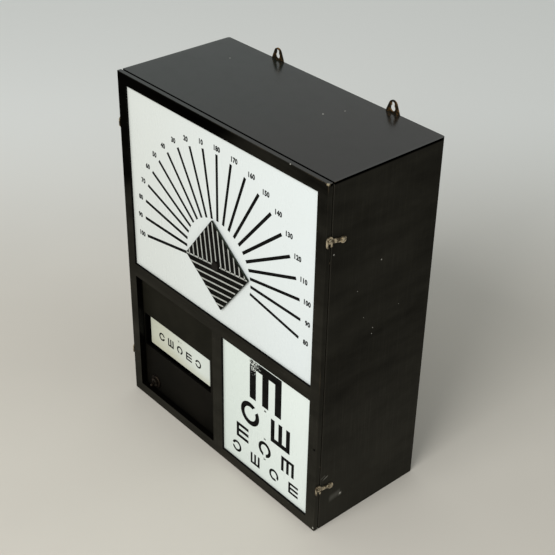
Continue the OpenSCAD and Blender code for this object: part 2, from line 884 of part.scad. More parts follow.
// Outer form of the front: a slab with bevelled front edges and a groove round its back edges
module front_form() {
    b = front_bevel;
    y = y_frame - groove_w;
    intersection() {
        translate([0, 0, foot_gap]) linear_extrude(cabinet_h - foot_gap) polygon([
            [groove_d - x_out, y_frame], [groove_d - x_out, y], [-x_out, y], [-x_out, y_face + b], [b - x_out, y_face],
            [x_out - b, y_face], [x_out, y_face + b], [x_out, y], [x_out - groove_d, y], [x_out - groove_d, y_frame]
        ]);
        translate([-x_out, 0, 0]) rotate([90, 0, 90]) linear_extrude(cabinet_w) polygon([
            [y_frame, foot_gap + groove_d], [y, foot_gap + groove_d], [y, foot_gap],
            [y_face + b, foot_gap], [y_face, foot_gap + b], [y_face, cabinet_h - b], [y_face + b, cabinet_h],
            [y, cabinet_h], [y, cabinet_h - groove_d], [y_frame, cabinet_h - groove_d]
        ]);
    }
}

// Glazing rebate round an opening
module glazing_rebate(x0, x1, z0, z1) {
    span([x0 - rebate_w, y_glass, z0 - rebate_w], [x1 + rebate_w, y_frame + 1, z1 + rebate_w]);
}

module rebates() {
    glazing_rebate(-x_open, x_open, z_up0, z_up1);
    glazing_rebate(mullion_x, x_open, z_low0, z_low1);
}

// Tenons of the three rails, or their mortises when grown by a clearance
module rail_tenons(grow) {
    y = y_face + (front_t - tenon_t) / 2;
    ranges = [
        [foot_gap + 3, z_low0 - rebate_w - 1], [z_low1 + rebate_w + 1, z_up0 - rebate_w - 1],
        [z_up1 + rebate_w + 1, cabinet_h - 3]
    ];
    for (side = [-1, 1])
        for (r = ranges)
            translate([side * (x_open + tenon_l / 2), y + tenon_t / 2, (r[0] + r[1]) / 2])
                cube([tenon_l + 2 * grow, tenon_t + 2 * grow, r[1] - r[0] + 2 * grow], center = true);
}

// Tenons of the upright bar, or their mortises when grown by a clearance
module mullion_tenons(grow) {
    y = y_face + front_t / 2;
    x0 = 3 - mullion_x;
    x1 = mullion_x - rebate_w - 1;
    for (z = [z_low0 - tenon_l / 2, z_low1 + tenon_l / 2])
        translate([(x0 + x1) / 2, y, z])
            cube([x1 - x0 + 2 * grow, tenon_t + 2 * grow, tenon_l + 2 * grow], center = true);
}

module stile(side) {
    color(wood_black) difference() {
        intersection() {
            front_form();
            span([x_open, y_face - 1, 0], [x_out + 1, y_frame + 1, cabinet_h + 1]);
        }
        if (side > 0) rebates(); else glazing_rebate(-x_open, x_open, z_up0, z_up1);
        rail_tenons(seated);
        for (z = dowel_heights)
            translate([(x_in + x_out) / 2, 0, z])
                bar_y(y_frame - dowel_reach - 0.5, y_frame + 1, dowel_d + 2 * running);
        for (z = [hook_low, hook_high])
            translate([0, pin_y, z]) bar_x(x_out - pin_hold - 0.2, x_out + 1, pin_d + 2 * seated);
    }
}

module stile_left() {
    mirror([1, 0, 0]) stile(-1);
}

module stile_right() {
    stile(1);
}

// Rail between the stiles from z0 to z1, with its two tenons
module rail(z0, z1) {
    color(wood_black) {
        difference() {
            intersection() {
                front_form();
                span([-x_open, y_face - 1, z0], [x_open, y_frame + 1, z1]);
            }
            rebates();
            mullion_tenons(seated);
        }
        intersection() {
            rail_tenons(0);
            span([-x_out, y_face, z0], [x_out, y_frame, z1]);
        }
    }
}

module top_rail() {
    rail(z_up1, cabinet_h);
}

module mid_rail() {
    rail(z_low1, z_up0);
}

module bottom_rail() {
    rail(foot_gap, z_low0);
}

module mullion() {
    color(wood_black) {
        difference() {
            span([-mullion_x, y_face, z_low0], [mullion_x, y_frame, z_low1]);
            rebates();
        }
        mullion_tenons(0);
    }
}

// Pane of opal glass in the rebate of an opening
module pane(x0, x1, z0, z1) {
    edge = rebate_w - play;
    span([x0 - edge, y_glass, z0 - edge], [x1 + edge, y_glass_back, z1 + edge]);
}

module fan_pane() {
    color(opal) difference() {
        pane(-x_open, x_open, z_up0, z_up1);
        translate([fan_off, 0, fan_centre_h]) bar_y(y_glass - 1, y_glass_back + 1, bush_d + 2 * seated);
    }
}

module chart_pane() {
    color(opal) pane(mullion_x, x_open, z_low0, z_low1);
}

// Glazing beads round an opening: two level ones at full length and two upright ones between them
module beads(x0, x1, z0, z1) {
    edge = rebate_w - play / 4;
    cut = edge / 3;
    joint = play / 4;
    section = [
        [0, y_glass_back], [0, y_frame - cut], [cut, y_frame], [edge, y_frame], [edge, y_glass_back]
    ];
    level = [for (p = section) [p[1], p[0]]];
    color(wood_black) {
        translate([x0 - edge, 0, z1]) rotate([90, 0, 90]) linear_extrude(x1 - x0 + 2 * edge) polygon(level);
        translate([x0 - edge, 0, z0]) rotate([90, 0, 90]) linear_extrude(x1 - x0 + 2 * edge)
            polygon([for (p = level) [p[0], -p[1]]]);
        translate([x1, 0, z0 + joint]) linear_extrude(z1 - z0 - 2 * joint) polygon(section);
        translate([x0, 0, z0 + joint]) linear_extrude(z1 - z0 - 2 * joint)
            polygon([for (p = section) [-p[0], p[1]]]);
    }
}

module fan_beads() {
    beads(-x_open, x_open, z_up0, z_up1);
}

module chart_beads() {
    beads(mullion_x, x_open, z_low0, z_low1);
}

module block_bush() {
    color(brass) translate([fan_off, 0, fan_centre_h]) difference() {
        union() {
            bar_y(y_glass - bush_flange_t, y_glass, bush_flange_d);
            bar_y(y_glass - eps, bush_end_y, bush_d);
        }
        bar_y(y_glass - bush_flange_t - 1, bush_end_y + 1, spindle_d + 2 * running);
    }
}

module block_bush_nut() {
    color(brass) translate([fan_off, 0, fan_centre_h]) difference() {
        bar_y(y_glass_back, y_glass_back + bush_nut_t, bush_flange_d);
        bar_y(y_glass_back - 1, y_glass_back + bush_nut_t + 1, bush_d + 2 * seated);
    }
}

module block_plate() {
    color(wood_black) translate([fan_off, block_back_y, fan_centre_h]) rotate([90, 0, 0]) difference() {
        rotate(45 + block_turn) translate([-block_side / 2, -block_side / 2, 0])
            cube([block_side, block_side, block_t]);
        translate([0, 0, -1]) cylinder(d = spindle_d + 2 * seated, h = block_t + 2);
    }
}

// Low turned knob with the spindle that passes through the plate and the bush
module block_knob() {
    round_r = knob_h / 2;
    color(dark) translate([fan_off, block_front_y, fan_centre_h]) {
        rotate([90, 0, 0]) rotate_extrude() {
            square([knob_d / 2, knob_h - round_r]);
            square([knob_d / 2 - round_r, knob_h]);
            intersection() {
                translate([knob_d / 2 - round_r, knob_h - round_r]) circle(r = round_r);
                square([knob_d, knob_h]);
            }
        }
        bar_y(-eps, bush_end_y + end_play + block_nut_t - block_front_y, spindle_d);
    }
}

module block_nut() {
    y = bush_end_y + end_play;
    color(brass) translate([fan_off, 0, fan_centre_h]) difference() {
        bar_y(y, y + block_nut_t, block_nut_d);
        bar_y(y - 1, y + block_nut_t + 1, spindle_d + 2 * seated);
    }
}

top_board();
bottom_board();
side_left();
side_right();
back_panel();
shelf();
divider();
mask_panel();
mask_cleats();
drum_post_left();
drum_post_right();
drum_stub();
drum_tube();
drum_washers();
drum_lampholder();
drum_bulb();
lampholder_upper_left();
lampholder_upper_right();
lampholder_chart();
bulb_upper_left();
bulb_upper_right();
bulb_chart();
terminal_block();
lamp_leads();
switch_leads();
cord_bush();
switch_case();
switch_pin();
switch_rose();
switch_nut();
switch_lever();
hanger_eye_left();
hanger_eye_right();
front_dowels();
hook_screws();
hook_washers();
stile_left();
stile_right();
top_rail();
mid_rail();
bottom_rail();
mullion();
fan_pane();
chart_pane();
fan_beads();
chart_beads();
hook_pins();
block_bush();
block_bush_nut();
block_plate();
block_knob();
block_nut();
hook_upper_left();
hook_lower_left();
hook_upper_right();
hook_lower_right();
drum_end_left();
drum_end_right();
drum_faces();
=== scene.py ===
from math import cos, pi, radians, sin, sqrt

import bmesh
import bpy
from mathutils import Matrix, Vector


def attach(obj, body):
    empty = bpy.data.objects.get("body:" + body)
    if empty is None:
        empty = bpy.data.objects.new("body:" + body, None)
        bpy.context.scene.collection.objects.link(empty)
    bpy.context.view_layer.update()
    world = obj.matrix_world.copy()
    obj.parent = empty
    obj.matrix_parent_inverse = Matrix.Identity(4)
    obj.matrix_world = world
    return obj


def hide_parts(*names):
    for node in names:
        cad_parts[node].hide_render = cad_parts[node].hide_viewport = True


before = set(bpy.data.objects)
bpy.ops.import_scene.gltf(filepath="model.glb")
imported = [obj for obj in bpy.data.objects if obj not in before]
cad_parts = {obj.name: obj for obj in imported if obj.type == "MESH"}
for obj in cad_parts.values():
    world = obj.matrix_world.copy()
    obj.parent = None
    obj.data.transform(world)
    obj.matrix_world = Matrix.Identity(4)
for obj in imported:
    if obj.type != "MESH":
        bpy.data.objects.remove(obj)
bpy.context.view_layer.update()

# Sizes and places of the box in metres, as in the part's source
MM = 0.001
HALF_W = 277.5 * MM
HALF_D = 129 * MM
HALF_H = 357.5 * MM
BACK_FACE = 125 * MM
HANGER_FACE = 128.6 * MM
HANGERS = (-133.5 * MM, 160 * MM)
HANGER_SCREWS = (11 * MM, 711.1 * MM)
HOOK_SEAT = 280.74 * MM
HOOK_PIVOT_Y = -94 * MM
HOOK_PIVOTS = ((608 * MM, 0.6), (94 * MM, 1.3))
PANE_FACE = -124.7 * MM
PLATE_FACE = -129.65 * MM
FAN_X = 2 * MM
FAN_Z = 437 * MM
FAN_OPENING = (-254.5 * MM, 254.5 * MM, 318 * MM, 693.5 * MM)
CHART_OPENING = (14 * MM, 254.5 * MM, 23 * MM, 290 * MM)
DRUM_AXIS = (-147 * MM, -50.708 * MM, 158 * MM)
DRUM_FACE = -107 * MM

# Limits of the faces that are painted apart
TOP_FACE = 713.5 * MM
SIDE_FACE = 274.5 * MM
FRONT_FACE = -120 * MM
SEAM_FRONT = -120.6 * MM
SEAM_BACK = -116.1 * MM
SEAM_FOOT = 4 * MM
SEAM_HEAD = 711 * MM
TOP_SEAM = 711.5 * MM
INSIDE_X = 265.6 * MM
INSIDE_BACK = 119.5 * MM
INSIDE_FLOOR = 11.9 * MM
INSIDE_ROOF = 703.1 * MM
RECESS_RIGHT = -5.9 * MM
RECESS_ROOF = 298 * MM
REVEAL_X = 256 * MM
REVEAL_FOOT = 20 * MM
REVEAL_HEAD = 695 * MM

# Print stands a little proud of its pane and is sunk a little into it
PROUD = 0.10 * MM
SUNK = 0.06 * MM
STANDING = pi / 2


class Wire:
    """A socket among a material's nodes. Sums on wires add Math nodes."""

    def __init__(self, tree, socket=None):
        self.tree = tree
        self.socket = socket

    def node(self, kind, settings=None, sockets=None, out=0):
        """Adds a node: its settings first, then the values or links of its sockets."""
        made = self.tree.nodes.new(kind)
        for name, value in (settings or {}).items():
            setattr(made, name, value)
        for name, value in (sockets or {}).items():
            if isinstance(value, Wire):
                self.tree.links.new(value.socket, made.inputs[name])
            else:
                made.inputs[name].default_value = value
        return Wire(self.tree, made.outputs[out] if made.outputs else None)

    def out(self, name):
        return Wire(self.tree, self.socket.node.outputs[name])

    def math(self, operation, *values):
        return self.node("ShaderNodeMath", {"operation": operation}, dict(enumerate(values)))

    def __add__(self, other):
        return self.math("ADD", self, other)

    __radd__ = __add__

    def __sub__(self, other):
        return self.math("SUBTRACT", self, other)

    def __rsub__(self, other):
        return self.math("SUBTRACT", other, self)

    def __mul__(self, other):
        return self.math("MULTIPLY", self, other)

    __rmul__ = __mul__

    def __lt__(self, other):
        return self.math("LESS_THAN", self, other)

    def __gt__(self, other):
        return self.math("GREATER_THAN", self, other)

    def size(self):
        return self.math("ABSOLUTE", self)

    def least(self, other):
        return self.math("MINIMUM", self, other)

    def most(self, other):
        return self.math("MAXIMUM", self, other)

    def fade(self, start, end, low=0.0, high=1.0):
        """Goes smoothly from low at start to high at end."""
        return self.node(
            "ShaderNodeMapRange",
            {"interpolation_type": "SMOOTHSTEP"},
            {"Value": self, "From Min": start, "From Max": end, "To Min": low, "To Max": high},
        )

    def blend(self, first, second):
        """A colour from first to second, by this value."""
        sockets = {0: self, 6: first, 7: second}
        return self.node("ShaderNodeMix", {"data_type": "RGBA"}, sockets, 2)

    def apart(self):
        cut = self.node("ShaderNodeSeparateXYZ", None, {0: self})
        return cut.out("X"), cut.out("Y"), cut.out("Z")

    def times(self, scales):
        return self.node("ShaderNodeVectorMath", {"operation": "MULTIPLY"}, {0: self, 1: scales})

    def from_point(self, point):
        return self.node("ShaderNodeVectorMath", {"operation": "DISTANCE"}, {0: self, 1: point}, "Value")

    def noise(self, scale, detail=3.0, rough=0.55, twist=0.0):
        sockets = {"Vector": self, "Scale": scale, "Detail": detail, "Roughness": rough, "Distortion": twist}
        return self.node("ShaderNodeTexNoise", None, sockets)


def rgb(red, green, blue):
    return (red, green, blue, 1.0)


def start_finish(name):
    """A new material and its Object coordinates, whose node also gives the surface normal."""
    material = bpy.data.materials.new(name)
    material.use_nodes = True
    material.node_tree.nodes.clear()
    return material, Wire(material.node_tree).node("ShaderNodeTexCoord", out="Object")


def end_finish(place, sockets, height=None, depth=0.0, strength=0.5):
    """Adds the shader, with a bump where a height is given."""
    if height is not None:
        bump = {"Height": height, "Distance": depth, "Strength": strength}
        sockets = dict(sockets, Normal=place.node("ShaderNodeBump", None, bump))
    shader = place.node("ShaderNodeBsdfPrincipled", None, sockets)
    place.node("ShaderNodeOutputMaterial", None, {"Surface": shader})


def box_edge(place):
    """Distance from the nearest outer edge, for a place on the outside of the box."""
    x, y, z = place.apart()
    a = HALF_W - x.size()
    b = HALF_D - y.size()
    c = HALF_H - (z - HALF_H).size()
    return a.least(b).most(a.most(b).least(c))


# Marks on the paint: place and radius in millimetres
PALE_MARKS = (
    ((-194.9, 64, 715), 1.6),
    ((90, 32.8, 715), 2.0),
    ((104.5, 69.6, 715), 1.3),
    ((190.7, -129, 715), 1.7),
    ((277.5, -110.8, 584.7), 1.8),
    ((277.5, -66, 57.5), 2.8),
    ((275.2, -129, 8), 2.2),
    ((277.5, -1.3, 533), 1.4),
    ((277.5, -53, 492), 1.1),
    ((277.5, -34.7, 432.4), 0.8),
    ((277.5, -11, 401.3), 1.4),
    ((277.5, -12.4, 389.5), 1.2),
    ((277.5, 49.6, 424.2), 0.8),
)
WORN_CORNER = (277.5 * MM, -129 * MM, 715 * MM)
DARK_SPOT = (270.4 * MM, -129 * MM, 190.5 * MM)

# Scratches and rubs on the right side: two ends as y and z in millimetres, half the width, and strength.
# Each fades in over its first millimetres and out over its last.
SCRATCHES = (
    ((-96, 58), (-65, 61.5), 11.0, 0.125),
    ((-73, 55.8), (-61, 57.6), 5.4, 0.28),
    ((-113.5, 112.8), (-98, 119.4), 1.3, 0.45),
    ((-120, 117), (-105, 123.4), 1.2, 0.20),
)
FADE_IN = 7
FADE_OUT = 3


def pale_marks(place, grit):
    """Share of pale in the paint: small knocks, and scratches that fade at both ends."""
    x, y, z = place.apart()
    marks = None
    for (mx, my, mz), radius in PALE_MARKS:
        far = place.from_point((mx * MM, my * MM, mz * MM)) + (grit - 0.5) * 0.002
        mark = far.fade(radius * MM, radius * 0.5 * MM)
        marks = mark if marks is None else marks.most(mark)
    for (y0, z0), (y1, z1), reach, share in SCRATCHES:
        slope = (z1 - z0) / (y1 - y0)
        off_line = (z - z0 * MM - (y - y0 * MM) * slope).size() + (grit - 0.5) * 0.0016
        begun = y.fade(y0 * MM, (y0 + FADE_IN) * MM)
        not_done = y.fade(y1 * MM, (y1 - FADE_OUT) * MM)
        in_span = begun * not_done * (x > HALF_W - 1 * MM)
        marks = marks.most(off_line.fade(reach * MM, 0.0006) * in_span * share)
    return marks


def paint_tone(place, top, front, mottle):
    """How pale the paint is, as painted shade with random mottle: most near the foot, darker upwards, least
    in the front's upper left, where it stands in for a dark reflection in the gloss, and least under the top.
    """
    x, _, z = place.apart()
    # painted shade: the sides are paler at the foot and darker above, and the front is darker upwards
    beside = z.fade(0.33, 0.10, 0.70, 1.05)
    before = 0.85 - z * 0.6 - z.fade(0.60, 0.72) * 0.15
    # painted shade: the front's upper left is painted near black, standing in for a dark reflection in the
    # gloss
    painted_corner_shade = front * (z - (x + HALF_W) * 0.72).fade(0.44, 0.50)
    under = (x.size() > SIDE_FACE) * z.fade(0.7085, 0.7120)
    painted_shade_and_mottle = beside + front * (before - beside) + (mottle - 0.5) * 0.9
    return painted_shade_and_mottle * (1.0 - painted_corner_shade * 0.85) * (1.0 - top * 0.6) * (1.0 - (1.0 - top) * under)


def black_paint(name, along, inside):
    """Brushed black paint, with its grain along an axis.

    With inside, the inner faces are white. Without it, the faces round the openings are painted near black as
    painted shade.
    """
    material, place = start_finish(name)
    x, y, z = place.apart()
    _, ny, nz = place.out("Normal").apart()
    grain = [420.0, 420.0, 420.0]
    grain[along] = 14.0
    streak = place.times(grain).noise(1.0, 4.0, 0.6)
    mottle = place.times((5.0, 7.0, 24.0)).noise(1.0, 4.0, 0.6)
    cloud = place.noise(9.0, 4.0, 0.6)
    grit = place.noise(260.0, 3.0, 0.6)
    patch = place.noise(11.0, 3.0, 0.6).fade(0.54, 0.74)
    worn = (box_edge(place) + (grit - 0.5) * 0.004).fade(0.0012, 0.0003) * patch
    corner = (place.from_point(WORN_CORNER) + (grit - 0.5) * 0.010).fade(0.0050, 0.0022)
    bare = worn.most(corner)
    spot = place.from_point(DARK_SPOT).fade(0.0034, 0.0018)

    top = nz.fade(0.8, 0.98) * (z > TOP_FACE)
    front = ny.fade(-0.5, -0.9) * (y < FRONT_FACE)
    # painted shade with random mottle: it darkens the paint's colour and thins the sides' coat
    painted_shade_and_mottle = paint_tone(place, top, front, mottle)
    gap = (y > SEAM_FRONT) * (y < SEAM_BACK)
    painted_lit_seam = gap * (x.size() > SIDE_FACE) * (z > SEAM_FOOT) * (z < SEAM_HEAD)
    dust = top * place.noise(34.0, 5.0, 0.65).fade(0.42, 0.78)
    # painted reflection tint: the top's colour goes from green-grey at the left to brown at the right
    across = (x + (mottle - 0.5) * 0.4).fade(-0.25, 0.26)

    colour = cloud.fade(0.3, 0.7).blend(rgb(0.0185, 0.0173, 0.0132), rgb(0.0240, 0.0224, 0.0171))
    colour = (streak.fade(0.45, 0.75) * 0.35).blend(colour, rgb(0.036, 0.034, 0.026))
    colour = painted_shade_and_mottle.blend(rgb(0.0, 0.0, 0.0), colour)
    colour = top.blend(colour, across.blend(rgb(0.0068, 0.0104, 0.0086), rgb(0.0092, 0.0080, 0.0062)))
    # painted light: the seam groove on the sides is painted paler, most at the foot
    colour = (painted_lit_seam * z.fade(0.22, 0.05, 0.6, 1.0)).blend(colour, rgb(0.066, 0.061, 0.049))
    # painted shade: the seam along the top is painted near black
    colour = (gap * (z > TOP_SEAM)).blend(colour, rgb(0.0008, 0.0008, 0.0006))
    colour = (dust * 0.08).blend(colour, rgb(0.060, 0.066, 0.060))
    wood = grit.fade(0.3, 0.7).blend(rgb(0.036, 0.026, 0.016), rgb(0.100, 0.074, 0.044))
    colour = (worn * 0.7).blend(colour, wood)
    colour = (corner * 0.8).blend(colour, rgb(0.34, 0.29, 0.19))
    colour = pale_marks(place, grit).blend(colour, rgb(0.40, 0.39, 0.35))
    colour = spot.blend(colour, rgb(0.0005, 0.0005, 0.0004))

    rough = 0.40 + streak * 0.14 + cloud * 0.10 + bare * 0.25 + dust * 0.05
    # painted highlight: the top's coat is heavier along its side edges, for the sheen of a rounded edge
    rim = x.size().fade(0.2715, 0.2745)
    coat = top * (0.90 - dust * 0.10 + rim * 0.10) + (1.0 - top) * painted_shade_and_mottle * 0.12
    if inside:
        inner = (x.size() < INSIDE_X) * (z > INSIDE_FLOOR) * (z < INSIDE_ROOF)
        inner = inner * (y < INSIDE_BACK) * (y > SEAM_BACK)
        inner = inner * (x > RECESS_RIGHT).most(z > RECESS_ROOF)
        white = cloud.fade(0.3, 0.75).blend(rgb(0.76, 0.74, 0.68), rgb(0.68, 0.65, 0.57))
        colour = inner.blend(colour, white)
        rough = rough + inner * 0.15
    else:
        # painted shade: the frame's faces round the openings are painted near black
        painted_shade_reveal = ny.size().fade(0.7, 0.4) * (x.size() < REVEAL_X) * (z > REVEAL_FOOT) * (z < REVEAL_HEAD)
        colour = painted_shade_reveal.blend(colour, rgb(0.0015, 0.0013, 0.0010))
    sockets = {
        "Base Color": colour,
        "Roughness": rough,
        "Specular IOR Level": 0.0,
        "Coat Weight": coat,
        "Coat Roughness": 0.20,
    }
    end_finish(place, sockets, streak * 0.7 + grit * 0.2 - bare * 0.8, 0.00012, 0.35)
    return material


def mask_black():
    """Flat black of the mask, cleats, posts and drum ends, with painted shade: darker low down and near black
    on cut edges.
    """
    material, place = start_finish("mask_black")
    _, _, z = place.apart()
    _, ny, _ = place.out("Normal").apart()
    cloud = place.noise(14.0, 4.0, 0.6)
    tooth = place.noise(900.0, 2.0, 0.5)
    # painted shade: darker low down, paler above
    low = cloud.fade(0.3, 0.7).blend(rgb(0.0042, 0.0038, 0.0028), rgb(0.0066, 0.0058, 0.0043))
    high = cloud.fade(0.3, 0.7).blend(rgb(0.0090, 0.0085, 0.0058), rgb(0.0134, 0.0124, 0.0087))
    # painted shade: faces that do not face the front are painted near black
    cut = ny.size().fade(0.7, 0.4)
    colour = cut.blend(z.fade(0.10, 0.23).blend(low, high), rgb(0.0016, 0.0014, 0.0011))
    rough = 0.55 + tooth * 0.15 + cloud * 0.08
    sockets = {"Base Color": colour, "Roughness": rough, "Specular IOR Level": 0.03}
    end_finish(place, sockets, tooth, 0.00008, 0.3)
    return material


def plate_black():
    """Black enamel of the block plate, with its bare green-grey edge."""
    material, place = start_finish("plate_black")
    _, ny, _ = place.out("Normal").apart()
    flat = ny.size().fade(0.6, 0.9)
    cloud = place.noise(40.0, 4.0, 0.6)
    grit = place.noise(500.0, 2.0, 0.5)
    face = cloud.fade(0.3, 0.7).blend(rgb(0.0036, 0.0036, 0.0030), rgb(0.0066, 0.0064, 0.0054))
    side = cloud.fade(0.3, 0.7).blend(rgb(0.018, 0.024, 0.017), rgb(0.030, 0.038, 0.029))
    rough = 0.40 + cloud * 0.16 + grit * 0.08
    sockets = {"Base Color": flat.blend(side, face), "Roughness": rough, "Specular IOR Level": 0.01}
    end_finish(place, sockets, grit, 0.00005, 0.3)
    return material


def white_paint():
    """Matt white of the shelf and divider, browned a little by the lamps, and black towards the recess."""
    material, place = start_finish("white_paint")
    x, _, z = place.apart()
    streak = place.times((60.0, 400.0, 60.0)).noise(1.0, 4.0, 0.6)
    cloud = place.noise(6.0, 4.0, 0.6)
    recess = (x < RECESS_RIGHT) * (z < RECESS_ROOF + 0.5 * MM)
    colour = cloud.fade(0.3, 0.75).blend(rgb(0.77, 0.75, 0.69), rgb(0.68, 0.64, 0.55))
    colour = recess.blend(colour, rgb(0.008, 0.007, 0.0053))
    end_finish(place, {"Base Color": colour, "Roughness": 0.55 + streak * 0.15}, streak, 0.0001, 0.3)
    return material


def opal_glass(name, opening, left, right):
    """Opal pane, darker at its left than at its right colour as painted shade, and darker along the frame
    round its opening.
    """
    material, place = start_finish(name)
    x, _, z = place.apart()
    x0, x1, z0, z1 = opening
    side = (x1 - x0) / 2 - (x - (x0 + x1) / 2).size()
    level = (z1 - z0) / 2 - (z - (z0 + z1) / 2).size()
    cloud = place.noise(5.0, 4.0, 0.6)
    smear = place.times((30.0, 30.0, 9.0)).noise(1.0, 4.0, 0.6)
    speck = place.noise(420.0, 2.0, 0.5)
    rim = (side.least(level) + (smear - 0.5) * 0.008).fade(0.007, 0.0)
    # painted shade: the pane darkens towards its left
    colour = x.fade(x0, x1).blend(left, right)
    colour = (cloud.fade(0.3, 0.7) * 0.10).blend(colour, rgb(0.60, 0.64, 0.59))
    colour = (smear.fade(0.55, 0.8) * 0.12).blend(colour, rgb(0.66, 0.70, 0.65))
    colour = (rim * 0.35).blend(colour, rgb(0.42, 0.43, 0.38))
    colour = (speck.fade(0.72, 0.80) * 0.22).blend(colour, rgb(0.40, 0.40, 0.36))
    rough = 0.20 + smear * 0.16 + rim * 0.25
    sockets = {"Base Color": colour, "Roughness": rough, "Specular IOR Level": 0.4}
    end_finish(place, sockets, cloud, 0.0004, 0.15)
    return material


def ivory_plate():
    """Ivory faces of the drum, darker and yellower towards the left end: painted shade, with yellowing."""
    material, place = start_finish("ivory_plate")
    x, y, z = place.apart()
    cloud = place.noise(16.0, 4.0, 0.6)
    fleck = place.times((60.0, 300.0, 300.0)).noise(1.0, 4.0, 0.6)
    low = (z + (cloud - 0.5) * 0.02).fade(0.150, 0.126) * (y < -0.09)
    # painted shade with yellowing: darker and yellower towards the left end
    across = (x + (cloud - 0.5) * 0.03).fade(-0.225, -0.070)
    colour = across.blend(rgb(0.555, 0.572, 0.472), rgb(0.672, 0.722, 0.676))
    colour = (low * 0.5).blend(colour, rgb(0.51, 0.50, 0.37))
    colour = (fleck.fade(0.62, 0.8) * 0.3).blend(colour, rgb(0.52, 0.50, 0.37))
    end_finish(place, {"Base Color": colour, "Roughness": 0.42 + cloud * 0.14}, fleck, 0.00008, 0.25)
    return material


def aged_metal(name, clean, dull, rough, spread, share=0.5):
    """Old metal: clean over a share of it and dull elsewhere."""
    material, place = start_finish(name)
    cloud = place.noise(110.0, 5.0, 0.65)
    fine = place.noise(900.0, 3.0, 0.6)
    spots = place.noise(420.0, 2.0, 0.5).fade(0.60, 0.70)
    tarnish = (cloud + (fine - 0.5) * 0.3).fade(share - 0.09, share + 0.09)
    colour = tarnish.blend(clean, dull)
    colour = (spots * 0.55).blend(colour, rgb(dull[0] * 0.4, dull[1] * 0.4, dull[2] * 0.4))
    sockets = {"Base Color": colour, "Roughness": rough + tarnish * spread + spots * 0.1, "Metallic": 1.0}
    end_finish(place, sockets, fine * 0.6 + cloud * 0.6, 0.00010, 0.35)
    return material


def moulded_brown():
    """Moulded brown-black of the knob, switch case, lampholders and bush."""
    material, place = start_finish("moulded_brown")
    swirl = place.noise(60.0, 5.0, 0.6, 1.5)
    fine = place.noise(700.0, 2.0, 0.5)
    colour = swirl.fade(0.35, 0.7).blend(rgb(0.0045, 0.0040, 0.0033), rgb(0.0100, 0.0085, 0.0062))
    sockets = {"Base Color": colour, "Roughness": 0.40 + swirl * 0.14, "Specular IOR Level": 0.06}
    end_finish(place, sockets, fine, 0.00005, 0.25)
    return material


def braided_lead():
    """Cotton-braided lead."""
    material, place = start_finish("braided_lead")
    x, y, z = place.apart()
    weave = place.math("SINE", (x + y + z) * 4200.0) * place.math("SINE", (x - y + z) * 3900.0)
    fibre = place.noise(1800.0, 2.0, 0.5)
    colour = weave.fade(-0.6, 0.6).blend(rgb(0.020, 0.017, 0.014), rgb(0.075, 0.062, 0.048))
    sockets = {"Base Color": colour, "Roughness": 0.75 + fibre * 0.2}
    end_finish(place, sockets, weave + fibre * 0.5, 0.0003, 0.5)
    return material


def pearl_glass():
    """Pearl bulb glass with a thin film of dust."""
    material, place = start_finish("pearl_glass")
    cloud = place.noise(60.0, 4.0, 0.6)
    colour = cloud.fade(0.3, 0.75).blend(rgb(0.82, 0.82, 0.78), rgb(0.72, 0.71, 0.65))
    end_finish(place, {"Base Color": colour, "Roughness": 0.32 + cloud * 0.2}, cloud, 0.0001, 0.15)
    return material


def bare_dowel():
    """Bare wood of the dowels, dark with age, with its grain along them."""
    material, place = start_finish("bare_dowel")
    grain = place.times((900.0, 40.0, 900.0)).noise(1.0, 4.0, 0.6)
    colour = grain.fade(0.3, 0.7).blend(rgb(0.150, 0.102, 0.060), rgb(0.090, 0.058, 0.032))
    end_finish(place, {"Base Color": colour, "Roughness": 0.6 + grain * 0.2}, grain, 0.0002, 0.4)
    return material


# Where the print of the largest figure has flaked
FLAKED_CORNER = (96 * MM, PANE_FACE, 279 * MM)


def print_ink():
    """Black print, thin in places and flaked at one corner of the largest figure."""
    material, place = start_finish("print_ink")
    cloud = place.noise(70.0, 4.0, 0.6)
    flake = place.noise(330.0, 3.0, 0.65)
    corner = place.from_point(FLAKED_CORNER).fade(0.034, 0.010)
    lost = (flake + corner * 0.16).fade(0.66, 0.70) * corner.fade(0.02, 0.2)
    colour = cloud.fade(0.3, 0.7).blend(rgb(0.0042, 0.0043, 0.0040), rgb(0.0085, 0.0087, 0.0080))
    colour = lost.blend(colour, rgb(0.66, 0.70, 0.66))
    sockets = {"Base Color": colour, "Roughness": 0.5 + cloud * 0.2, "Specular IOR Level": 0.01}
    end_finish(place, sockets, cloud, 0.00005, 0.2)
    return material


def line_paint():
    """Pale grey paint of the block's lines."""
    material, place = start_finish("line_paint")
    cloud = place.noise(90.0, 4.0, 0.6)
    wear = place.noise(520.0, 3.0, 0.6).fade(0.66, 0.76)
    colour = cloud.fade(0.3, 0.7).blend(rgb(0.44, 0.455, 0.425), rgb(0.33, 0.34, 0.315))
    colour = (wear * 0.6).blend(colour, rgb(0.10, 0.098, 0.085))
    end_finish(place, {"Base Color": colour, "Roughness": 0.5 + cloud * 0.15}, cloud, 0.00005, 0.2)
    return material


def studio_floor():
    """Plain pale floor, paler behind the box."""
    material, place = start_finish("studio_floor")
    x, y, _ = place.apart()
    cloud = place.noise(1.5, 3.0, 0.5)
    near = cloud.fade(0.3, 0.7).blend(rgb(0.595, 0.565, 0.510), rgb(0.625, 0.594, 0.536))
    colour = (y * 0.66 - x * 0.75).fade(0.2, 1.6).blend(near, rgb(0.84, 0.85, 0.83))
    end_finish(place, {"Base Color": colour, "Roughness": 0.9, "Specular IOR Level": 0.1})
    return material


# Finishes
box_across = black_paint("box_paint_across", 0, True)
box_upright = black_paint("box_paint_upright", 2, True)
frame_across = black_paint("frame_paint_across", 0, False)
frame_upright = black_paint("frame_paint_upright", 2, False)
flat_black = mask_black()
enamel = plate_black()
inner_white = white_paint()
